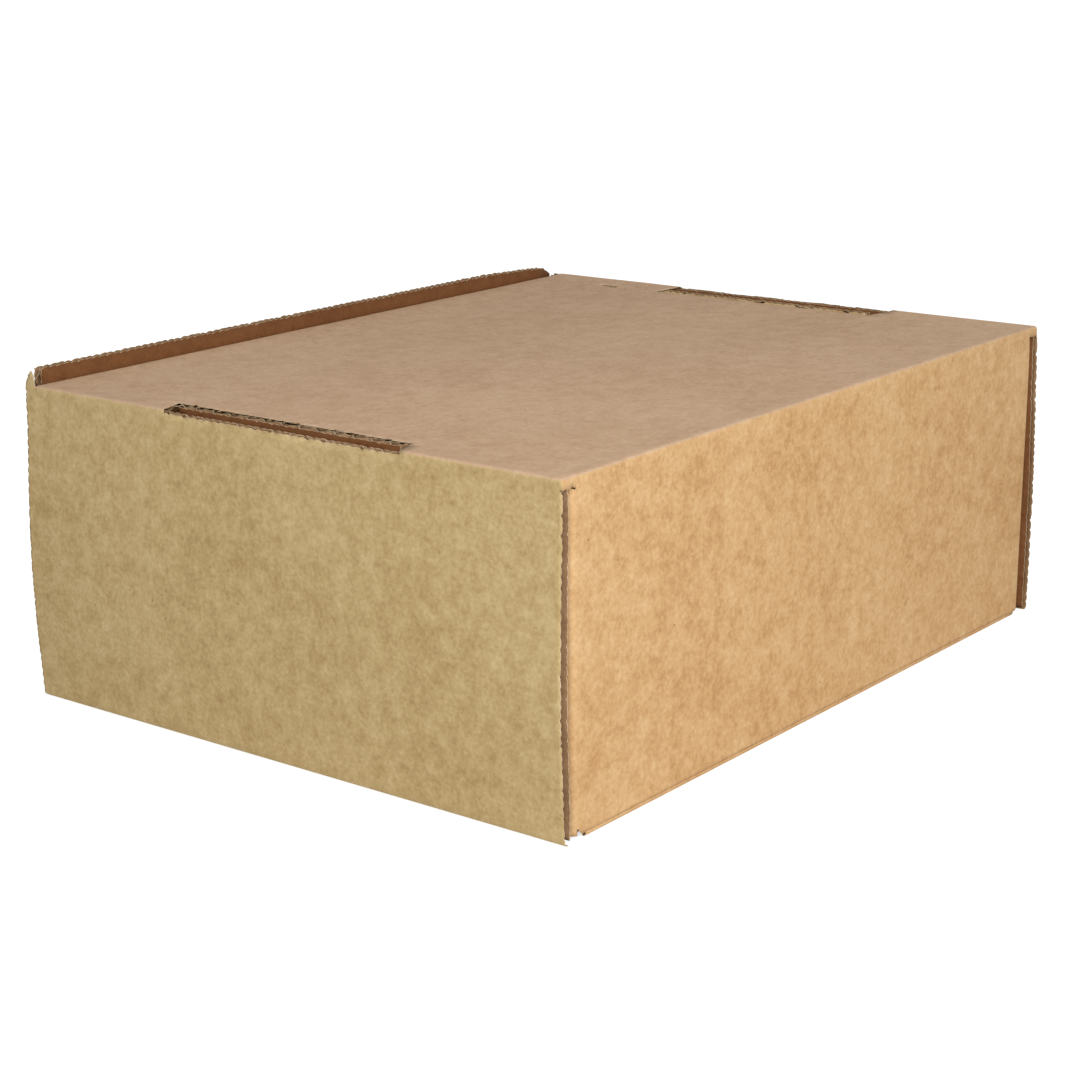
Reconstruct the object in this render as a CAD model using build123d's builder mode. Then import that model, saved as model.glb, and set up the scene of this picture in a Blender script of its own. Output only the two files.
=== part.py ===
import os

from build123d import *

os.makedirs("parts", exist_ok=True)

# A roll-end mailer box of corrugated board, folded from one blank and lying on its lid.
# The base panel is on top. X runs along the length, Y from the hinged back wall to the
# closing flap, and Z up from the floor. The origin is under the middle of the box.

# overall sizes
length = 306.0              # outside of the two end walls, at their folds
width = 240.0               # back wall to closing flap
height = 116.0              # floor to the base panel's outer face
board = 3.8                 # thickness of the corrugated board

# folds and play between layers
fold_radius = 2.4           # outside of a fold
crease_radius = 0.6         # inside of a fold
layer_gap = 0.4             # between layers that lie against each other
near_corner_gap = 0.4       # slit between the near end wall and the back wall
far_corner_gap = 1.2        # the same slit at the far end
near_bow = 3.0              # how far the near end wall bulges at half height
far_bow = 2.2               # the same for the far end wall
foot_cut = 5.6              # height of the cut corner at each foot of the back wall

# dust flaps, folded in from the back and front walls inside the end walls
dust_flap_gap = 28.0        # between the tips of two dust flaps

# tabs of the inner end walls, and the slots in the base panel that they lock in
tab_length = 100.0
tab_centre = 0.5            # middle of the tab, from the origin
tab_drop = 1.0              # tab's cut edge under the base panel's face
back_play = 1.1             # from the tab's end to the slot's, on the back wall's side
front_play = 4.4            # the same on the front wall's side
slot_clearance = 0.4        # behind the tab
slot_slant = 5.6            # how far a slot's ends run towards the front across its depth
slot_sill = 1.0             # depth of the end wall's cut edge under the base panel's face

# lid with its closing flap, which stands outside the front wall
lid_side_gap = 0.5          # between the lid panel and the rolled end walls
hinge_gap = 0.4             # between the lid panel and the back wall's inner face
flap_rise = 5.8             # how far the closing flap stands above the base panel
flap_near_gap = 0.4         # between the closing flap's end and the near end wall's strip
flap_far_gap = 4.6          # the same at the far end
flap_corner_run = 15.0      # cut corner at the flap's far end, along its edge
flap_corner_drop = 3.2      # the same cut corner, down its end
ear_rise = 4.6              # near end wall's corner beside the closing flap, above the base panel

# places that follow from the sizes
centre_shift = (near_bow - far_bow) / 2
near_x = centre_shift - length / 2
far_x = centre_shift + length / 2
back_y = -width / 2
flap_y = width / 2
front_y = flap_y - board - layer_gap
near_roll = 3 * board + near_corner_gap + layer_gap
far_roll = 3 * board + far_corner_gap + layer_gap
wall_near = near_x + board + near_corner_gap
wall_far = far_x - board - far_corner_gap
lid_near = near_x + near_roll + lid_side_gap
lid_far = far_x - far_roll - lid_side_gap
base_underside = height - board
inner_top = base_underside - layer_gap
front_foot = board + layer_gap
fold_zone = board + 2 * crease_radius
dust_flap_length = (front_y - back_y - dust_flap_gap) / 2
slot_low = tab_centre - tab_length / 2 - back_play
slot_high = tab_centre + tab_length / 2 + front_play

ends = [
    {"outer": near_x, "inward": 1, "bow": near_bow, "roll": near_roll},
    {"outer": far_x, "inward": -1, "bow": far_bow, "roll": far_roll},
]


def inward(end, distance):
    """X of a point this far inside an end wall's outer face."""
    return end["outer"] + end["inward"] * distance


def round_corner(sketch, x, y, radius):
    """Round the corner of the sketch that lies nearest to a point."""
    fillet(sketch.vertices().sort_by_distance((x, y, 0))[0], radius)


def bowed_wall(end):
    """Edges of an end wall's outer face and inner face, bulged at half height."""
    middle = height / 2
    bow = end["bow"]
    ThreePointArc(
        (inward(end, 0), base_underside), (inward(end, -bow), middle), (inward(end, 0), 0)
    )
    ThreePointArc(
        (inward(end, board), board),
        (inward(end, board - bow), middle),
        (inward(end, board), base_underside),
    )


with BuildPart() as tray:
    # base panel, rounded over into its folds on all four sides
    with BuildSketch(Plane.XY.offset(base_underside)):
        with Locations(((near_x + far_x) / 2, (back_y + front_y) / 2)):
            Rectangle(length, front_y - back_y)
    extrude(amount=board)
    fillet(tray.faces().sort_by(Axis.Z)[-1].edges(), fold_radius)

    # back wall and front wall, down from the base panel
    with BuildSketch(Plane.YZ.offset(wall_near + fold_zone)):
        with Locations((back_y, foot_cut)):
            Rectangle(board, base_underside - foot_cut, align=(Align.MIN, Align.MIN))
        with Locations((front_y, front_foot)):
            Rectangle(board, base_underside - front_foot, align=(Align.MAX, Align.MIN))
    extrude(amount=wall_far - wall_near - 2 * fold_zone)

    # foot of the back wall, rounded under where the lid's fold starts, with its corners cut off
    with BuildSketch(Plane.YZ.offset(lid_near)) as foot:
        with Locations((back_y, 0)):
            Rectangle(board, foot_cut, align=(Align.MIN, Align.MIN))
        round_corner(foot, back_y, 0, fold_radius)
    extrude(amount=lid_far - lid_near)
    for corner_x, lid_x in ((wall_near, lid_near), (wall_far, lid_far)):
        with BuildSketch(Plane.XZ.offset(-back_y)):
            with BuildLine():
                Polyline((corner_x, foot_cut), (lid_x, foot_cut), (lid_x, fold_radius), close=True)
            make_face()
        extrude(amount=-board)

    # dust flaps, joined to the back wall and the front wall by upright folds
    for wall_y, towards_middle in ((back_y, 1), (front_y, -1)):
        inner_y = wall_y + towards_middle * board
        tip_y = wall_y + towards_middle * dust_flap_length
        for wall_x, into_box in ((wall_near, 1), (wall_far, -1)):
            flap_x = wall_x + into_box * board
            fold_x = wall_x + into_box * fold_zone
            with BuildSketch(Plane.XY.offset(foot_cut)) as flap:
                with BuildLine():
                    Polyline(
                        (fold_x, wall_y),
                        (wall_x, wall_y),
                        (wall_x, tip_y),
                        (flap_x, tip_y),
                        (flap_x, inner_y),
                        (fold_x, inner_y),
                        close=True,
                    )
                make_face()
                round_corner(flap, wall_x, wall_y, fold_radius)
                round_corner(flap, flap_x, inner_y, crease_radius)
            extrude(amount=inner_top - foot_cut)

    for end in ends:
        inside = end["roll"] - board

        # end wall's outer layer, bulged at half height, with the bend under its foot
        with BuildSketch(Plane.XZ.offset(-back_y)) as wall:
            with BuildLine():
                bowed_wall(end)
                Polyline(
                    (inward(end, 0), 0),
                    (inward(end, board + fold_radius), 0),
                    (inward(end, board + fold_radius), board),
                    (inward(end, board), board),
                )
                Line((inward(end, board), base_underside), (inward(end, 0), base_underside))
            make_face()
            round_corner(wall, inward(end, 0), 0, fold_radius)
            round_corner(wall, inward(end, board), board, crease_radius)
        extrude(amount=back_y - front_y)

        # its strip beyond the front wall, which covers the closing flap's end
        with BuildSketch(Plane.XZ.offset(-front_y)) as strip:
            with BuildLine():
                bowed_wall(end)
                Polyline(
                    (inward(end, 0), 0),
                    (inward(end, board), 0),
                    (inward(end, board), board),
                )
                Line((inward(end, board), base_underside), (inward(end, 0), base_underside))
            make_face()
            round_corner(strip, inward(end, 0), 0, fold_radius)
        extrude(amount=front_y - flap_y)

        # spine along the floor and the inner layer that stands up behind the dust flaps
        with BuildSketch(Plane.XZ.offset(-back_y - board - layer_gap)) as roll:
            with BuildLine():
                Polyline(
                    (inward(end, board), 0),
                    (inward(end, end["roll"]), 0),
                    (inward(end, end["roll"]), inner_top),
                    (inward(end, inside), inner_top),
                    (inward(end, inside), board),
                    (inward(end, board), board),
                    close=True,
                )
            make_face()
            round_corner(roll, inward(end, end["roll"]), 0, fold_radius)
            round_corner(roll, inward(end, inside), board, crease_radius)
        extrude(amount=-(front_y - back_y - 2 * board - 2 * layer_gap))

        # slot through the base panel beside the fold, and the end wall's cut edge in front of it
        depth = end["roll"] + slot_clearance
        slant = slot_slant / depth
        for start, stop, floor in (
            (-board, board, height - slot_sill),
            (board, depth, base_underside - 2 * crease_radius),
        ):
            with BuildSketch(Plane.XY.offset(floor)):
                with BuildLine():
                    Polyline(
                        (inward(end, start), slot_low - slant * (depth - start)),
                        (inward(end, stop), slot_low - slant * (depth - stop)),
                        (inward(end, stop), slot_high - slant * (depth - stop)),
                        (inward(end, start), slot_high - slant * (depth - start)),
                        close=True,
                    )
                make_face()
            extrude(amount=height, mode=Mode.SUBTRACT)

        # tab of the inner layer, locked in the slot
        with BuildSketch(Plane.XY.offset(inner_top - board)):
            with Locations((inward(end, end["roll"] - board / 2), tab_centre)):
                Rectangle(board, tab_length)
        extrude(amount=height - tab_drop - inner_top + board)

    # ear of the near end wall, torn up beside the closing flap's end
    with BuildSketch(Plane.YZ.offset(near_x)):
        with BuildLine():
            Polyline(
                (front_y, base_underside - board),
                (flap_y, base_underside - board),
                (flap_y, height + ear_rise),
                (front_y, height),
                close=True,
            )
        make_face()
    extrude(amount=board)

with BuildPart() as lid:
    # lid panel and the closing flap's foot
    with BuildSketch(Plane.YZ.offset(lid_near)) as section:
        with BuildLine():
            Polyline(
                (back_y + board + hinge_gap, 0),
                (flap_y, 0),
                (flap_y, 2 * board),
                (flap_y - board, 2 * board),
                (flap_y - board, board),
                (back_y + board + hinge_gap, board),
                close=True,
            )
        make_face()
        round_corner(section, flap_y, 0, fold_radius)
        round_corner(section, flap_y - board, board, layer_gap / 2)
    extrude(amount=lid_far - lid_near)

    # closing flap, standing above the base panel, with its far corner cut off
    flap_near = near_x + board + flap_near_gap
    flap_far = far_x - board - flap_far_gap
    with BuildSketch(Plane.XZ.offset(-flap_y)):
        with BuildLine():
            Polyline(
                (flap_near, 2 * board),
                (lid_near, board),
                (lid_far, board),
                (flap_far, 2 * board),
                (flap_far, height + flap_rise - flap_corner_drop),
                (flap_far - flap_corner_run, height + flap_rise),
                (flap_near, height + flap_rise),
                close=True,
            )
        make_face()
    extrude(amount=board)

tray.part.label = "tray"
export_step(tray.part, "parts/tray.step")
lid.part.label = "lid"
export_step(lid.part, "parts/lid.step")
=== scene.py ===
import math

import bmesh
import bpy
from mathutils import Matrix, Vector, noise


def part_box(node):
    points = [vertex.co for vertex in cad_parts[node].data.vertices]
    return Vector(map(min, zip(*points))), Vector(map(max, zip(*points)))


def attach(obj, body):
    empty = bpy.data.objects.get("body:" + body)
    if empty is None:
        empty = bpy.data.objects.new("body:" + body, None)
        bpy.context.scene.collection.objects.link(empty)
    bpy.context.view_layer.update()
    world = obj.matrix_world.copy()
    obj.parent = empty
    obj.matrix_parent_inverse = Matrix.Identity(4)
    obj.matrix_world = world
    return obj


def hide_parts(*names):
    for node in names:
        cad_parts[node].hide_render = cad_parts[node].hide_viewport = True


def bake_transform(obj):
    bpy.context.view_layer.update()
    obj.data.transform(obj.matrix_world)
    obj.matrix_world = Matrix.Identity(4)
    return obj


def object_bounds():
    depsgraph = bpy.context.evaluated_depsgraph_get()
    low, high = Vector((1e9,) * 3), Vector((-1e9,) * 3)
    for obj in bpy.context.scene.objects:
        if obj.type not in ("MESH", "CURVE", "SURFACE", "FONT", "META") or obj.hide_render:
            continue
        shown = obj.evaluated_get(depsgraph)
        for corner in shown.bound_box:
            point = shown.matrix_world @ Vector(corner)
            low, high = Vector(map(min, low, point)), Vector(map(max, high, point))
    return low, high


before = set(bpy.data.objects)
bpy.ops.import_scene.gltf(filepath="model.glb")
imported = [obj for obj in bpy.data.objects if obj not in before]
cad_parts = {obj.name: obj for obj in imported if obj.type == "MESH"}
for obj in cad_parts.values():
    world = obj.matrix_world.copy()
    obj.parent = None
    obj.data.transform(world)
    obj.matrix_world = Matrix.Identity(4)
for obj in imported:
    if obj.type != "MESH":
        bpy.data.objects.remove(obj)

cadLow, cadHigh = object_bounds()
print("frame loaded:", sorted(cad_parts))

# meshes are drawn in millimetres and turned into metres when a piece is finished
mm = 0.001

# single-wall corrugated board: two liners with a wavy medium between them
board = {
    "thick": 3.8,
    "liner": 0.3,
    "medium": 0.22,
    "pitch": 7.95,          # from one flute to the next
    "waveSteps": 6,
    "toothPitch": 3.35,     # scallops that the cutting rule leaves in every cut edge
    "toothDepth": 0.5,
    "toothSteps": 5,        # mesh steps along one scallop
    "foldRadius": 1.3,
    "cornerRadius": 2.7,    # the back and front walls' upright corners bend more gently
}

# play between the layers, as the tray and the lid are built
play = {
    "layers": 0.4,
    "nearCorner": 0.4,
    "farCorner": 1.2,
    "lidSide": 0.5,
    "hinge": 0.4,
    "flapNear": 0.4,
    "flapFar": 4.6,
}

thick = board["thick"]
radius = board["foldRadius"]
quarter = radius * math.pi / 2
cornerRadius = board["cornerRadius"]
cornerRun = cornerRadius * math.pi / 2
trayLow, trayHigh = (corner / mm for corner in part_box("tray"))
lidLow, lidHigh = (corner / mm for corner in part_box("lid"))

endWall = {
    "nearBow": 3.0,         # how far the near end wall bulges
    "farBow": 2.2,
    "earRise": 4.6,         # corner of the near end wall that stands up beside the closing flap
    "edgeBow": 0.62,        # the bulge at the back wall's side, as a share of the full one
    "bowDepth": 0.87,       # share of half a sine wave that the bulge follows, from the top down
    "bowFullness": 1.4,
    "pinch": 0.25,          # how much thinner the board is pressed at its folds, as a share
    "pinchReach": 5.0,
}
near = trayLow.x + endWall["nearBow"]
far = trayHigh.x - endWall["farBow"]
back = trayLow.y + 0.1      # a hair inside the box, so that torn fibres have room
flapFace = trayHigh.y - 0.1
front = flapFace - thick - play["layers"]
top = trayHigh.z - endWall["earRise"]
seam = top - thick          # where the base panel's folds end and the walls begin
innerTop = seam - play["layers"]
nearRoll = 3 * thick + play["nearCorner"] + play["layers"]
farRoll = 3 * thick + play["farCorner"] + play["layers"]
wallNear = near + thick + play["nearCorner"]
wallFar = far - thick - play["farCorner"]
lidNear = near + nearRoll + play["lidSide"]
lidFar = far - farRoll - play["lidSide"]

# slots in the base panel and the tabs of the inner end walls that lock in them
slot = {
    "tabLength": 100.0,
    "tabCentre": 0.5,
    "tabDrop": 1.1,         # near tab's cut edge under the base panel's face
    "farTabDrop": 0.3,      # the far tab is pushed up almost flush
    "backPlay": 1.1,        # from the tab's end to the slot's end
    "frontPlay": 4.4,
    "behind": 0.4,          # from the tab's back to the slot's edge
    "slant": 5.6,           # how far a slot's ends run towards the front across its depth
    "sill": 1.3,            # near end wall's cut edge under the base panel's face
    "farSill": 0.8,
}

ends = [
    {"name": "near", "outer": near, "inward": 1, "bow": endWall["nearBow"] - 0.1, "roll": nearRoll,
     "tabTop": top - slot["tabDrop"], "sill": top - slot["sill"]},
    {"name": "far", "outer": far, "inward": -1, "bow": endWall["farBow"] - 0.1, "roll": farRoll,
     "tabTop": top - slot["farTabDrop"], "sill": top - slot["farSill"]},
]
tabLow = slot["tabCentre"] - slot["tabLength"] / 2
tabHigh = slot["tabCentre"] + slot["tabLength"] / 2
slotLow = tabLow - slot["backPlay"]
slotHigh = tabHigh + slot["frontPlay"]
footCut = 5.6               # height of the cut corner at each foot of the back wall
hingeTop = radius + 0.4     # where the back wall ends and the lid's hinge fold begins
dustFlap = {"gap": 28.0}    # between the tips of two dust flaps

# which material a face takes; the outer liner's top, end and side are one kraft in three copies with painted
# light and shade, each lighter or darker and warmer or cooler by how the light falls on that face. A liner's
# back and its cut edge follow further down a piece's slots
finishes = ["kraftTopPaintedLight", "kraftEndPaintedLight", "kraftSidePaintedLight", "kraftInside", "flutingPaper"]
onTop, onEnd, onSide, inside, fluting = range(len(finishes))
backs = ["flutingPaper"] * len(finishes)
rims = ["cutPaper"] * len(finishes)


def run(start, stop, step):
    count = max(1, round(abs(stop - start) / step))
    return [start + (stop - start) * i / count for i in range(count + 1)]


def chain(*runs):
    values = list(runs[0])
    for more in runs[1:]:
        values += more[1:]
    return values


def fadeIn(distance, reach):
    return 1 - math.exp(-max(distance, 0) / reach)


def sheet(bm, us, vs, place, finish, flip=False):
    made = bmesh.ops.create_grid(bm, x_segments=len(us) - 1, y_segments=len(vs) - 1, size=0.5)
    for v in made["verts"]:
        i = round((v.co.x + 0.5) * (len(us) - 1))
        j = round((v.co.y + 0.5) * (len(vs) - 1))
        v.co = place(us[i], vs[j])
    faces = list({f for v in made["verts"] for f in v.link_faces})
    for f in faces:
        f.material_index = finish
        f.smooth = True
    if flip:
        bmesh.ops.reverse_faces(bm, faces=faces)
    return faces


def cutAway(bm, planes, gone):
    for point, normal in planes:
        bmesh.ops.bisect_plane(bm, geom=bm.verts[:] + bm.edges[:] + bm.faces[:], dist=0.001,
                               plane_co=point, plane_no=normal)
    doomed = [f for f in bm.faces if gone(f.calc_center_median())]
    bmesh.ops.delete(bm, geom=doomed, context="FACES")


def scallop(t, depth):
    wobble = noise.noise(Vector((t * 0.31, depth, 3.7)))
    tooth = 1 - abs(math.sin(math.pi * (t / board["toothPitch"] + 0.25 * wobble)))
    return depth * (tooth ** 1.5 * (1 + 0.7 * wobble) + 0.35 * wobble)


# the toothed rule's scallops along every open edge of the sheets in a mesh
def fray(bm, depth, keep=None):
    step = board["toothPitch"] / board["toothSteps"]
    edges = [e for e in bm.edges if e.is_boundary and not (keep and keep(e))]
    for count in sorted({round(e.calc_length() / step) for e in edges}):
        if count > 1:
            group = [e for e in edges if e.is_valid and round(e.calc_length() / step) == count]
            bmesh.ops.bisect_edges(bm, edges=group, cuts=count - 1)
    bm.normal_update()
    moves = {}
    for e in bm.edges:
        if e.is_boundary and not (keep and keep(e)):
            loop = e.link_loops[0]
            along = (loop.link_loop_next.vert.co - loop.vert.co).normalized()
            inward = loop.face.normal.cross(along)
            for v in e.verts:
                axis = Vector([abs(c) for c in along])
                moves.setdefault(v, []).append(inward * scallop(v.co.dot(axis), depth))
    for v, shifts in moves.items():
        v.co += sum(shifts, Vector()) / len(shifts)


# one mesh per piece, gathered from the panels that make it up
class Piece:
    def __init__(self, name):
        self.name = name
        self.mesh = bmesh.new()

    def take(self, bm):
        part = bpy.data.meshes.new("part")
        bm.to_mesh(part)
        bm.free()
        self.mesh.from_mesh(part)
        bpy.data.meshes.remove(part)

    def finish(self):
        bmesh.ops.scale(self.mesh, vec=(mm, mm, mm), verts=self.mesh.verts)
        data = bpy.data.meshes.new(self.name)
        self.mesh.to_mesh(data)
        self.mesh.free()
        for name in finishes + backs + rims:
            data.materials.append(bpy.data.materials[name])
        piece = bpy.data.objects.new(self.name, data)
        bpy.context.scene.collection.objects.link(piece)
        paper = piece.modifiers.new("paper", "SOLIDIFY")
        paper.thickness = board["liner"] * mm
        paper.offset = -1
        paper.use_even_offset = False
        paper.material_offset = len(finishes)
        paper.material_offset_rim = 2 * len(finishes)
        print(self.name, len(data.polygons), "faces")
        return piece


def panel(piece, place, alongs, acrosses, finish, flip, planes=(), gone=None, outer=True, frayed=0.0,
          coreInset=0.0):
    fineAcross = run(acrosses[0] + coreInset, acrosses[-1] - coreInset, board["pitch"] / board["waveSteps"])
    swing = thick / 2 - board["liner"] - board["medium"] / 2

    def crest(a, c):
        return place(a, c, thick / 2 + swing * math.sin(2 * math.pi * c / board["pitch"]))

    layers = [(lambda a, c: place(a, c, thick), acrosses, inside, not flip),
              (crest, fineAcross, fluting, flip)]
    if outer:
        layers.append((lambda a, c: place(a, c, 0), acrosses, finish, flip))
    for where, stations, look, turned in layers:
        bm = bmesh.new()
        sheet(bm, alongs, stations, where, look, turned)
        if gone:
            cutAway(bm, planes, gone)
        if frayed:
            fray(bm, frayed)
        piece.take(bm)


# the near and far end walls bulge between their folds
def bulge(end, y, z):
    drop = min(1, max(0, (seam - z) / seam))
    side = min(1, max(0, (y - back) / (flapFace - back)))
    share = 1 if end["name"] == "far" else endWall["edgeBow"] + (1 - endWall["edgeBow"]) * side
    return end["bow"] * share * math.sin(endWall["bowDepth"] * math.pi * drop) ** endWall["bowFullness"]


def endPoint(end, y, z, depth=0):
    reach = endWall["pinchReach"]
    pressed = endWall["pinch"] * math.exp(-max(0, seam - z) / reach)
    pressed += endWall["pinch"] * math.exp(-z / reach)
    x = depth * (1 - pressed) - bulge(end, y, z)
    return Vector((end["outer"] + end["inward"] * x, y, z))


# down the outer layer, under its foot, along the floor and up the inner layer
def rollPoint(end, y, s):
    s -= seam - radius
    if s <= 0:
        return endPoint(end, y, radius - s)
    flat = end["roll"] - 2 * radius
    if s <= quarter:
        x = radius - radius * math.cos(s / radius) - bulge(end, y, radius) * (1 - s / quarter)
        z = radius - radius * math.sin(s / radius)
    elif s <= quarter + flat:
        x, z = radius + s - quarter, 0
    elif s <= 2 * quarter + flat:
        turn = (s - quarter - flat) / radius
        x = end["roll"] - radius + radius * math.sin(turn)
        z = radius - radius * math.cos(turn)
    else:
        x, z = end["roll"], radius + s - 2 * quarter - flat
    return Vector((end["outer"] + end["inward"] * x, y, z))


# the base panel sags a little inside its four folds
basePanel = {
    "sag": 1.1,
    "sagReach": 9.0,
    "ripple": 0.12,
    "coreShare": 0.999,     # the core stops a hair above the walls that carry it
}


def capPoint(px, py):
    cx = min(max(px, near + radius), far - radius)
    cy = min(max(py, back + radius), front - radius)
    turnX = abs(px - cx) / radius
    turnY = abs(py - cy) / radius
    below = radius * max(0, max(turnX, turnY) - math.pi / 2)
    turnX = min(turnX, math.pi / 2)
    turnY = min(turnY, math.pi / 2)
    lean = Vector((math.copysign(math.sin(turnX), px - cx), math.copysign(math.sin(turnY), py - cy),
                   math.cos(turnX) * math.cos(turnY))).normalized()
    reach = basePanel["sagReach"]
    flat = fadeIn(cx - near - radius, reach) * fadeIn(far - radius - cx, reach)
    flat *= fadeIn(cy - back - radius, reach) * fadeIn(front - radius - cy, reach)
    dip = basePanel["sag"] * flat
    ripple = basePanel["ripple"] * noise.noise(Vector((cx / 23, cy / 19, 0.4))) * lean.z
    return Vector((cx, cy, top - radius - below - dip + ripple)) + lean * radius


foldRun = [i * quarter / 5 for i in range(1, 6)] + [quarter + thick - radius]
rollBack = trayLow.y + thick + play["layers"]
rollFront = front - thick - play["layers"]
widthRun = chain(run(back + radius, rollBack, 2), run(rollBack, rollFront, 7),
                 run(rollFront, front - radius, 2))
cornerTurn = [i * cornerRun / 6 for i in range(7)]
lengthRun = chain(run(wallNear + cornerRadius, wallNear + 20, 4), run(wallNear + 20, wallFar - 20, 20),
                  run(wallFar - 20, wallFar - cornerRadius, 4))
capXs = ([near + radius - s for s in reversed(foldRun)] + run(near + radius, wallNear + cornerRadius, 1.4)
         + lengthRun[1:] + run(wallFar - cornerRadius, far - radius, 1.4)[1:]
         + [far - radius + s for s in foldRun])
capYs = ([back + radius - s for s in reversed(foldRun)] + widthRun
         + [front - radius + s for s in foldRun])


def slotPlanes(end):
    depth = end["roll"] + slot["behind"]
    edge = end["outer"] + end["inward"] * depth
    along = Vector((end["inward"] * depth, slot["slant"], 0))
    across = Vector((-along.y, along.x, 0))
    return [((edge, 0, 0), (1, 0, 0)), ((edge, slotLow, 0), across), ((edge, slotHigh, 0), across)]


def inSlot(end, co):
    depth = end["roll"] + slot["behind"]
    x = (co.x - end["outer"]) * end["inward"]
    shift = slot["slant"] * (depth - x) / depth
    return x < depth and slotLow - shift < co.y < slotHigh - shift


allSlots = [plane for end in ends for plane in slotPlanes(end)]
tray = Piece("trayBoard")


# how far the strip beyond the front wall's fold stands above the seam: torn up into an ear at the near end
ear = {
    "rise": 9.0,
    "step": 3.42,           # height at which the torn edge leaves the fold
    "crest": 1.2,           # the crest and the end are measured out from the fold
    "crestEnd": 3.2,
    "end": 5.2,
    "tail": 4.0,
    "farTail": 3.4,
    "farSlope": 2.0,
    "fade": 12.0,           # how far down the wall the lift reaches
}


def earLift(end, y):
    t = y - (front - radius)
    if t <= 0:
        return 0
    if end["name"] == "far":
        return min(ear["farTail"], ear["farSlope"] * t)
    if t < ear["crest"]:
        return ear["step"] + (ear["rise"] - ear["step"]) * t / ear["crest"]
    if t < ear["crestEnd"]:
        return ear["rise"]
    left = max(0, (ear["end"] - t) / (ear["end"] - ear["crestEnd"]))
    return ear["tail"] + (ear["rise"] - ear["tail"]) * left


def buildOuterSkin():
    bm = bmesh.new()
    for f in sheet(bm, capXs, capYs, capPoint, onTop):
        f.normal_update()
        # faces turned away from the top take the end or side copy, each with its own painted light and shade
        if abs(f.normal.z) < 0.6:
            f.material_index = onEnd if abs(f.normal.x) > abs(f.normal.y) else onSide
    downRun = chain(run(0, 6, 1.5), run(6, seam - 10, 4), run(seam - 10, seam - radius, 1.9))
    footRun = [seam - radius + s for s in foldRun[:5]]
    for end in ends:
        wallYs = chain(run(back, back + radius, 1.2), widthRun, run(front - radius, flapFace, 0.9))

        def outerLayer(y, s):
            place = rollPoint(end, y, s)
            place.z += earLift(end, y) * max(0, 1 - s / ear["fade"])
            return place

        sheet(bm, wallYs, downRun + footRun, outerLayer, onEnd, end["inward"] < 0)
        upStart = seam - radius + 2 * quarter + end["roll"] - 2 * radius
        rollRun = chain(run(seam - radius + quarter, upStart - quarter, 2),
                        run(upStart - quarter, upStart, quarter / 4),
                        run(upStart, upStart + end["tabTop"] - radius, 6))
        insideYs = [y for y in widthRun if rollBack <= y <= rollFront]
        sheet(bm, insideYs, rollRun, lambda y, s: rollPoint(end, y, s), onEnd, end["inward"] < 0)
    buildWallSkin(bm, back, 1, hingeTop)
    buildWallSkin(bm, front, -1, thick + play["layers"])
    bmesh.ops.remove_doubles(bm, verts=bm.verts, dist=0.03)
    planes = allSlots + [((0, 0, ends[0]["sill"]), (0, 0, 1)), ((0, 0, ends[1]["sill"]), (0, 0, 1)),
                         ((0, 0, innerTop), (0, 0, 1)),
                         ((0, tabLow, 0), (0, 1, 0)), ((0, tabHigh, 0), (0, 1, 0)),
                         ((0, 0, footCut), (0, 0, 1))] + footChamfers

    def gone(co):
        onBackFoot = co.z < footCut and wallNear - 0.1 < co.x < wallFar + 1 and abs(co.y - back) < 0.1
        if onBackFoot and underChamfer(co):
            return True
        for end in ends:
            x = (co.x - end["outer"]) * end["inward"]
            if abs(x - end["roll"]) < 0.2 and co.z < min(end["tabTop"], top - 0.2):
                return co.z > innerTop and not tabLow < co.y < tabHigh
            if inSlot(end, co) and co.z > end["sill"]:
                return True
        return False

    cutAway(bm, planes, gone)
    fray(bm, board["toothDepth"], lambda e: all(v.co.z < hingeTop + 0.1 for v in e.verts))
    tray.take(bm)


# the far edge of the back and front walls stands out under its fold and runs in towards its foot
wallEdge = {"width": 20.0, "out": 0.8, "outReach": 6.0, "inAtFoot": 2.6}


# back wall or front wall with its two dust flaps, folded round upright corners
def wallPoint(wallY, inwardY, p, z, depth=0):
    lowCorner = wallNear + cornerRadius
    highCorner = wallFar - cornerRadius
    c = min(max(p, lowCorner), highCorner)
    beyond = abs(p - c)
    turn = min(beyond / cornerRadius, math.pi / 2)
    side = math.copysign(1, p - c)
    x = c + side * (cornerRadius - depth) * math.sin(turn)
    deep = cornerRadius - (cornerRadius - depth) * math.cos(turn) + max(0, beyond - cornerRun)
    y = wallY + inwardY * deep
    taper = min(1, max(0, (p - highCorner + wallEdge["width"]) / wallEdge["width"]))
    shift = wallEdge["out"] * fadeIn(seam - z, wallEdge["outReach"]) - wallEdge["inAtFoot"] * (1 - z / seam)
    return Vector((x + taper * shift, y, z))


dustReach = (front - trayLow.y - dustFlap["gap"]) / 2 - cornerRadius + cornerRun
lidSpread = 2.3             # how much wider than the lid panel its hinge fold is, at each end
footChamfers = [((wallNear, 0, footCut), (footCut, 0, lidNear - lidSpread - wallNear)),
                ((wallFar, 0, footCut), (-footCut, 0, wallFar - lidFar - lidSpread))]


def underChamfer(co):
    return any((Vector(co) - Vector(point)).dot(Vector(slope)) < 0 for point, slope in footChamfers)


def buildWallSkin(bm, wallY, inwardY, foot):
    corner = wallNear + cornerRadius
    aroundRun = chain([corner - s for s in reversed(run(cornerRun, dustReach, 8))],
                      [corner - s for s in reversed(cornerTurn)], lengthRun,
                      [wallFar - cornerRadius + s for s in cornerTurn],
                      [wallFar - cornerRadius + s for s in run(cornerRun, dustReach, 8)])
    rise = chain(run(foot, footCut, 1.3), run(footCut, 20, 3), run(20, seam, 6))
    sheet(bm, aroundRun, rise, lambda p, z: wallPoint(wallY, inwardY, p, z), onSide, inwardY < 0)


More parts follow.
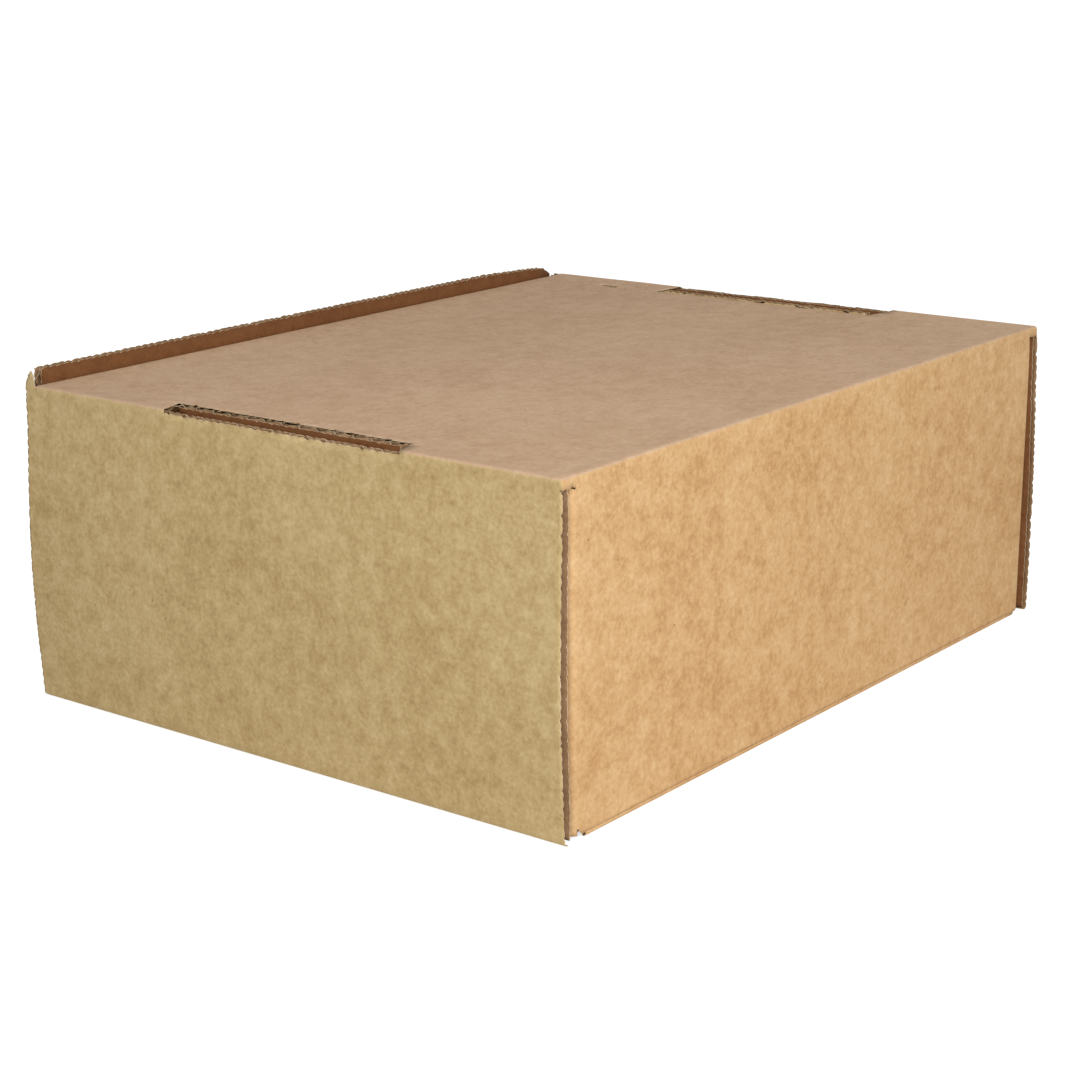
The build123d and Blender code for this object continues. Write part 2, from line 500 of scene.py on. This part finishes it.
def buildWallCore(wallY, inwardY, foot):
    flip = inwardY < 0
    flatRun = [p for p in lengthRun if wallNear + thick < p < wallFar - thick]
    panel(tray, lambda x, z, depth: wallPoint(wallY, inwardY, x, z, depth), flatRun,
          run(foot, seam, 8), onSide, flip, outer=False)
    for sign, corner in ((-1, wallNear + cornerRadius), (1, wallFar - cornerRadius)):
        strip = [corner + sign * (cornerRun + s) for s in run(1.5, dustReach - cornerRun, 8)]
        if sign < 0:
            strip.reverse()
        panel(tray, lambda p, z, depth: wallPoint(wallY, inwardY, p, z, 0) + Vector((-sign * depth, 0, 0)),
              strip, run(footCut, innerTop, 8), onSide, flip, outer=False)


def buildPanels():
    baseYs = run(back + 1.5, front - 1.5, 8)
    baseXs = chain(run(near + 2, near + 22, 2.5), run(near + 22, far - 22, 12), run(far - 22, far - 2, 2.5))

    def basePoint(x, y, depth):
        face = capPoint(min(max(x, near + radius), far - radius), y)
        return face - Vector((0, 0, depth * basePanel["coreShare"]))

    panel(tray, basePoint, baseXs, baseYs, onTop, False, allSlots,
          lambda co: any(inSlot(end, co) for end in ends), outer=False, frayed=0.3)
    for end in ends:
        flip = end["inward"] > 0
        panel(tray, lambda z, y, depth: endPoint(end, y, z, depth),
              chain(run(radius, 12, 2.5), run(12, 100, 20), run(100, end["sill"], 2.5)),
              run(back + 0.2, flapFace - 0.2, 8), onEnd, not flip, outer=False, frayed=0.35, coreInset=2.8)
        planes = [((0, 0, innerTop), (0, 0, 1)), ((0, tabLow, 0), (0, 1, 0)), ((0, tabHigh, 0), (0, 1, 0))]
        face = end["outer"] + end["inward"] * end["roll"]
        panel(tray, lambda z, y, depth: Vector((face - end["inward"] * depth, y, z)),
              chain(run(radius, 100, 20), run(100, end["tabTop"], 3)), run(rollBack, rollFront, 8),
              onEnd, flip, planes, lambda co: co.z > innerTop and not tabLow < co.y < tabHigh,
              outer=False, frayed=0.3)


lid = Piece("lidBoard")
hingeEnd = trayLow.y + thick + play["hinge"]
flapTop = lidHigh.z - 0.2
# two cuts take the closing flap's far corner off: each goes through a point with a slope
flap = {"cuts": [(105.0, 0.1, 0.045), (141.0, 1.9, 0.7)]}


# across the lid panel on the floor, round its fold and up the closing flap
def lidPoint(u, s, depth=0):
    flatEnd = flapFace - radius
    if s <= flatEnd:
        y, z = s, depth
    elif s <= flatEnd + quarter:
        turn = (s - flatEnd) / radius
        y = flatEnd + (radius - depth) * math.sin(turn)
        z = radius - (radius - depth) * math.cos(turn)
    else:
        y, z = flapFace - depth, radius + s - flatEnd - quarter
    wide = min(1, max(0, (z - thick) / thick)) if s > flatEnd else 0
    low = lidNear + wide * (lidLow.x - lidNear)
    high = lidFar + wide * (lidHigh.x - lidFar)
    return Vector((low + u * (high - low), y, z))


def buildLid():
    alongs = run(0, 1, 0.04)
    flatEnd = flapFace - radius
    rise = flatEnd + quarter - radius
    path = chain(run(hingeEnd, flatEnd, 10), [flatEnd + s for s in [0] + foldRun[:5]],
                 run(flatEnd + quarter, rise + 10, 1.5), run(rise + 10, rise + flapTop, 6))
    cuts = [(Vector((x, 0, flapTop - drop)), Vector((slope, 0, 1))) for x, drop, slope in flap["cuts"]]

    def gone(co):
        return co.z > top - 10 and any((co - point).dot(slope) > 0 for point, slope in cuts)

    bm = bmesh.new()
    sheet(bm, alongs, path, lidPoint, onSide, True)
    cutAway(bm, cuts, gone)
    fray(bm, board["toothDepth"], lambda e: all(v.co.y < hingeEnd + 0.1 for v in e.verts))
    lid.take(bm)
    panel(lid, lidPoint, alongs, run(hingeEnd, flatEnd, 10), onSide, True, outer=False, frayed=0.3)
    panel(lid, lidPoint, alongs, run(flatEnd + quarter + 1.5, rise + flapTop, 6), onSide, True, cuts, gone,
          outer=False, frayed=0.45)


# the fold between the back wall and the lid
hinge = Piece("hingeFold")


def buildHinge():
    def hingePoint(u, s):
        if s <= 0:
            y, z = back, radius - s
        elif s <= quarter:
            y = back + radius - radius * math.cos(s / radius)
            z = radius - radius * math.sin(s / radius)
        else:
            y, z = back + radius + s - quarter, 0
        spread = lidSpread * max(0, min(1, 1 - (s - quarter) / 2))
        low = lidNear - spread
        high = lidFar + spread
        return Vector((low + u * (high - low), y, z))

    bm = bmesh.new()
    path = [radius - hingeTop] + [0] + foldRun[:5] + run(quarter, quarter + hingeEnd - back - radius, 0.9)[1:]
    sheet(bm, run(0, 1, 0.03), path, hingePoint, onSide, True)
    hinge.take(bm)


# shader nodes: values may be numbers, colours or sockets to link
def add(tree, kind, values=(), **settings):
    made = tree.nodes.new("ShaderNode" + kind)
    for name, value in settings.items():
        setattr(made, name, value)
    for key, value in dict(values).items():
        if isinstance(value, bpy.types.NodeSocket):
            tree.links.new(value, made.inputs[key])
        else:
            made.inputs[key].default_value = value
    return made


def calc(tree, operation, first, second=0.5, third=0.5):
    return add(tree, "Math", {0: first, 1: second, 2: third}, operation=operation).outputs[0]


def band(tree, value, low, high, bottom=0.0, ceiling=1.0):
    return add(tree, "MapRange", {"Value": value, "From Min": low, "From Max": high,
                                  "To Min": bottom, "To Max": ceiling}).outputs[0]


def blendColours(tree, factor, first, second, kind="MIX"):
    return add(tree, "Mix", {0: factor, 6: first, 7: second}, data_type="RGBA",
               blend_type=kind).outputs[2]


# a colour as it is seen on screen, 0 to 255, made linear
def shade(red, green, blue):
    parts = [c / 255 for c in (red, green, blue)]
    return [c / 12.92 if c <= 0.04045 else ((c + 0.055) / 1.055) ** 2.4 for c in parts] + [1]


def newGroup(name, takes, gives):
    tree = bpy.data.node_groups.new(name, "ShaderNodeTree")
    for label, kind, start in takes:
        socket = tree.interface.new_socket(label, in_out="INPUT", socket_type="NodeSocket" + kind)
        if start is not None:
            socket.default_value = start
    for label, kind in gives:
        tree.interface.new_socket(label, in_out="OUTPUT", socket_type="NodeSocket" + kind)
    return tree, tree.nodes.new("NodeGroupInput").outputs, tree.nodes.new("NodeGroupOutput")


def useGroup(tree, name, values):
    made = tree.nodes.new("ShaderNodeGroup")
    made.node_tree = bpy.data.node_groups[name]
    for key, value in values.items():
        if isinstance(value, bpy.types.NodeSocket):
            tree.links.new(value, made.inputs[key])
        else:
            made.inputs[key].default_value = value
    return made.outputs


# pressed fibres: fine mottling, clouds, single long fibres and dark flecks; places are in millimetres
def buildFibreGroup():
    tree, takes, gives = newGroup("pressedFibres", [
        ("Place", "Vector", None), ("Base", "Color", None), ("Dark", "Color", None),
        ("Light", "Color", None), ("Mottle", "Float", 1.0), ("Flecks", "Float", 1.0),
    ], [("Color", "Color"), ("Height", "Float")])
    place = takes["Place"]
    fine = add(tree, "TexNoise", {"Vector": place, "Scale": 0.62, "Detail": 5.0, "Roughness": 0.68})
    middle = add(tree, "TexNoise", {"Vector": place, "Scale": 0.17, "Detail": 3.0, "Roughness": 0.6})
    cloud = add(tree, "TexNoise", {"Vector": place, "Scale": 0.022, "Detail": 2.0})
    drift = add(tree, "VectorMath", {0: cloud.outputs["Color"], "Scale": 30.0}, operation="SCALE")
    bent = add(tree, "VectorMath", {0: place, 1: drift.outputs[0]}, operation="ADD")
    strand = add(tree, "TexNoise", {"Vector": bent.outputs[0], "Scale": 0.45, "Detail": 1.0})
    ridge = calc(tree, "ABSOLUTE", calc(tree, "SUBTRACT", strand.outputs[0], 0.5))
    lines = band(tree, ridge, 0.0, 0.022, 1.0, 0.0)
    breaks = add(tree, "TexNoise", {"Vector": place, "Scale": 0.3, "Detail": 2.0})
    lines = calc(tree, "MULTIPLY", lines, band(tree, breaks.outputs[0], 0.5, 0.62))
    specks = add(tree, "TexVoronoi", {"Vector": place, "Scale": 0.2, "Randomness": 1.0})
    size = add(tree, "SeparateColor", {0: specks.outputs["Color"]})
    reach = band(tree, size.outputs[0], 0.7, 1.0, 0.0, 0.085)
    dot = calc(tree, "LESS_THAN", specks.outputs["Distance"], reach)
    dot = calc(tree, "MULTIPLY", dot, takes["Flecks"])
    tone = calc(tree, "ADD", band(tree, fine.outputs[0], 0.3, 0.7, -0.5, 0.5),
                band(tree, middle.outputs[0], 0.3, 0.7, -0.4, 0.4))
    tone = calc(tree, "ADD", tone, band(tree, cloud.outputs[0], 0.3, 0.7, -0.2, 0.2))
    tone = calc(tree, "MULTIPLY", tone, takes["Mottle"])
    darker = calc(tree, "MAXIMUM", calc(tree, "MULTIPLY", tone, -1.0), 0.0)
    lighter = calc(tree, "MAXIMUM", tone, 0.0)
    colour = blendColours(tree, darker, takes["Base"], takes["Dark"])
    colour = blendColours(tree, lighter, colour, takes["Light"])
    colour = blendColours(tree, calc(tree, "MULTIPLY", lines, 0.3), colour, takes["Dark"])
    colour = blendColours(tree, calc(tree, "MULTIPLY", dot, 0.75), colour, shade(92, 62, 34))
    tree.links.new(colour, gives.inputs["Color"])
    relief = calc(tree, "ADD", fine.outputs[0], calc(tree, "MULTIPLY", lines, 0.4))
    tree.links.new(relief, gives.inputs["Height"])


# painted highlight along the folds: the liner is painted lighter there, in patches
def buildFoldHighlightGroup():
    tree, takes, gives = newGroup("paintedFoldHighlight", [
        ("Place", "Vector", None), ("Fold", "Float", 0.0), ("Strength", "Float", 1.0),
    ], [("Mask", "Float")])
    patchy = add(tree, "TexNoise", {"Vector": takes["Place"], "Scale": 0.25, "Detail": 3.0})
    highlighted = calc(tree, "MULTIPLY", takes["Fold"], band(tree, patchy.outputs[0], 0.35, 0.7, 0.35, 1.0))
    tree.links.new(calc(tree, "MULTIPLY", highlighted, takes["Strength"]), gives.inputs["Mask"])


# the flutes show through the liner as a faint washboard
def buildWashboardGroup():
    tree, takes, gives = newGroup("washboard", [("Across", "Float", 0.0)], [("Height", "Float")])
    turn = calc(tree, "MULTIPLY", takes["Across"], 2 * math.pi / board["pitch"])
    tree.links.new(calc(tree, "SINE", turn), gives.inputs["Height"])


# the top, end and side kraft are one board in three copies with painted light: each is painted lighter or
# darker, warmer or cooler, by how the light falls on that face
kraftLooks = {
    "kraftTopPaintedLight": {"base": shade(201, 167, 135), "dark": shade(175, 139, 106), "light": shade(220, 191, 158),
                 "mottle": 0.75, "across": 1, "foldHighlight": 0.35},
    "kraftEndPaintedLight": {"base": shade(191, 165, 116), "dark": shade(161, 132, 83), "light": shade(215, 191, 145),
                 "mottle": 0.95, "across": 1, "foldHighlight": 0.45},
    "kraftSidePaintedLight": {"base": shade(207, 166, 116), "dark": shade(178, 132, 81), "light": shade(225, 192, 146),
                  "mottle": 0.95, "across": 2, "foldHighlight": 0.3},
    "kraftInside": {"base": shade(116, 73, 39), "dark": shade(94, 54, 25), "light": shade(129, 86, 50),
                    "mottle": 0.8, "across": 1, "foldHighlight": 0.0},
    "flutingPaper": {"base": shade(140, 108, 76), "dark": shade(104, 76, 50), "light": shade(165, 134, 100),
                     "mottle": 0.9, "across": 1, "foldHighlight": 0.0},
    "cutPaper": {"base": shade(206, 180, 146), "dark": shade(150, 116, 80), "light": shade(228, 208, 180),
                 "mottle": 1.2, "across": 1, "foldHighlight": 0.0},
}


paperFinish = {
    "flecks": 0.6,
    "ribs": 0.12,           # how strongly the flutes show through
    "relief": 0.35,
    "reliefHeight": 0.1,
    "roughness": 0.82,
    "gloss": 0.25,
    "foldHighlightReach": 1.6,       # how far from a fold the painted highlight fades out
}


def buildKraft(name):
    look = kraftLooks[name]
    material = bpy.data.materials.new(name)
    material.use_nodes = True
    tree = material.node_tree
    surface = tree.nodes["Principled BSDF"]
    place = add(tree, "Mapping", {"Vector": add(tree, "TexCoord").outputs["Object"],
                                  "Scale": (1 / mm, 1 / mm, 1 / mm)}).outputs[0]
    paper = useGroup(tree, "pressedFibres", {"Place": place, "Base": look["base"], "Dark": look["dark"],
                                             "Light": look["light"], "Mottle": look["mottle"],
                                             "Flecks": paperFinish["flecks"]})
    fold = add(tree, "Attribute", attribute_name="fold").outputs["Fac"]
    highlighted = useGroup(tree, "paintedFoldHighlight", {"Place": place, "Fold": fold, "Strength": look["foldHighlight"]})
    # the folds are painted lighter, towards the light colour: a painted highlight
    colour = blendColours(tree, highlighted["Mask"], paper["Color"], look["light"])
    tree.links.new(colour, surface.inputs["Base Color"])
    ribs = useGroup(tree, "washboard", {
        "Across": add(tree, "SeparateXYZ", {0: place}).outputs[look["across"]]})
    height = calc(tree, "MULTIPLY_ADD", ribs["Height"], paperFinish["ribs"], paper["Height"])
    bump = add(tree, "Bump", {"Height": height, "Strength": paperFinish["relief"],
                              "Distance": paperFinish["reliefHeight"] * mm})
    tree.links.new(bump.outputs[0], surface.inputs["Normal"])
    surface.inputs["Roughness"].default_value = paperFinish["roughness"]
    surface.inputs["Specular IOR Level"].default_value = paperFinish["gloss"]


# how close a point is to a fold, written into the mesh for the painted highlight along the folds
def markFolds(piece):
    lines = [("y", near, top), ("y", far, top), ("x", back, top), ("x", front, top),
             ("z", wallNear, back), ("z", wallFar, back), ("x", back, 0), ("x", flapFace, 0),
             ("y", near, 0), ("y", far, 0)]
    data = piece.data
    fold = data.attributes.new("fold", "FLOAT", "POINT")
    for v, mark in zip(data.vertices, fold.data):
        x, y, z = v.co / mm
        flat = {"x": (y, z), "y": (x, z), "z": (x, y)}
        gap = min(math.dist(flat[axis], (a, b)) for axis, a, b in lines)
        mark.value = math.exp(-gap / paperFinish["foldHighlightReach"])


for build in (buildFibreGroup, buildFoldHighlightGroup, buildWashboardGroup):
    build()
for name in kraftLooks:
    buildKraft(name)
print("materials made")

buildOuterSkin()
buildWallCore(back, 1, footCut)
buildWallCore(front, -1, thick + play["layers"])
buildPanels()
buildLid()
buildHinge()
trayPiece = tray.finish()
lidPiece = lid.finish()
hingePiece = hinge.finish()
for piece in (trayPiece, lidPiece, hingePiece):
    markFolds(piece)
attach(trayPiece, "tray")
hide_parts("tray")
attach(lidPiece, "lid")
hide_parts("lid")
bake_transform(hingePiece)
print("pieces on their bodies")

camera = {
    "place": (-0.6798, -0.5271, 0.2820),
    "heading": -51.74,
    "pitch": -15.46,
    "roll": -0.68,
    "lens": 78.11,
}


def buildCamera():
    data = bpy.data.cameras.new("camera")
    data.lens = camera["lens"]
    data.clip_start = 0.01
    view = bpy.data.objects.new("camera", data)
    bpy.context.scene.collection.objects.link(view)
    turn = Matrix.Rotation(math.radians(camera["heading"]), 4, "Z")
    turn @= Matrix.Rotation(math.radians(90 + camera["pitch"]), 4, "X")
    turn @= Matrix.Rotation(math.radians(camera["roll"]), 4, "Z")
    view.matrix_world = Matrix.Translation(camera["place"]) @ turn
    bpy.context.scene.camera = view


studio = {
    "key": {"place": (-0.42, -0.72, 0.62), "size": 0.6, "power": 5.9},
    "fill": {"place": (-0.95, -0.45, 0.5), "size": 0.9, "power": 3.2},
    "sky": 0.34,
    "floorGlow": 0.7,
    "floorPaint": 0.95,
    "floorBounce": 0.8,     # the floor's paint as the object sees it
    "floorSize": 8.0,
    "aim": (0, 0, 0.06),
}


def buildLamp(name):
    look = studio[name]
    data = bpy.data.lights.new(name, "AREA")
    data.size = look["size"]
    data.energy = look["power"]
    lamp = bpy.data.objects.new(name, data)
    bpy.context.scene.collection.objects.link(lamp)
    away = Vector(look["place"]) - Vector(studio["aim"])
    lamp.matrix_world = Matrix.Translation(look["place"]) @ away.to_track_quat("Z", "Y").to_matrix().to_4x4()


# rays that should find the backdrop white
def seenRays(tree):
    path = add(tree, "LightPath")
    seen = calc(tree, "MAXIMUM", path.outputs["Is Camera Ray"], path.outputs["Is Glossy Ray"])
    return calc(tree, "MAXIMUM", seen, path.outputs["Is Transmission Ray"])


def buildStage():
    world = bpy.data.worlds.new("studio")
    bpy.context.scene.world = world
    world.use_nodes = True
    tree = world.node_tree
    tree.nodes.clear()
    sky = add(tree, "Background", {"Strength": studio["sky"]})
    white = add(tree, "Background", {"Color": (1, 1, 1, 1), "Strength": 1.0})
    sky.inputs["Color"].default_value = (1, 1, 1, 1)
    mix = add(tree, "MixShader", {0: seenRays(tree), 1: sky.outputs[0], 2: white.outputs[0]})
    add(tree, "OutputWorld", {"Surface": mix.outputs[0]})

    bm = bmesh.new()
    bmesh.ops.create_grid(bm, x_segments=1, y_segments=1, size=studio["floorSize"])
    bmesh.ops.translate(bm, vec=(0, 0, cadLow.z - 0.0001), verts=bm.verts)
    data = bpy.data.meshes.new("floor")
    bm.to_mesh(data)
    bm.free()
    floor = bpy.data.objects.new("floor", data)
    bpy.context.scene.collection.objects.link(floor)
    material = bpy.data.materials.new("floorPaint")
    material.use_nodes = True
    tree = material.node_tree
    tree.nodes.clear()
    glow = add(tree, "Emission", {"Strength": studio["floorGlow"]})
    paint, bounce = studio["floorPaint"], studio["floorBounce"]
    soft = add(tree, "BsdfDiffuse", {"Color": (paint, paint, paint, 1)})
    lit = add(tree, "AddShader", {0: glow.outputs[0], 1: soft.outputs[0]})
    plain = add(tree, "BsdfDiffuse", {"Color": (bounce, bounce, bounce, 1)})
    shown = add(tree, "MixShader", {0: seenRays(tree), 1: plain.outputs[0], 2: lit.outputs[0]})
    under = add(tree, "MixShader", {0: add(tree, "NewGeometry").outputs["Backfacing"], 1: shown.outputs[0],
                                    2: add(tree, "BsdfTransparent").outputs[0]})
    add(tree, "OutputMaterial", {"Surface": under.outputs[0]})
    data.materials.append(material)


buildCamera()
buildLamp("key")
buildLamp("fill")
buildStage()
bpy.context.scene.view_settings.view_transform = "Standard"
print("studio ready")
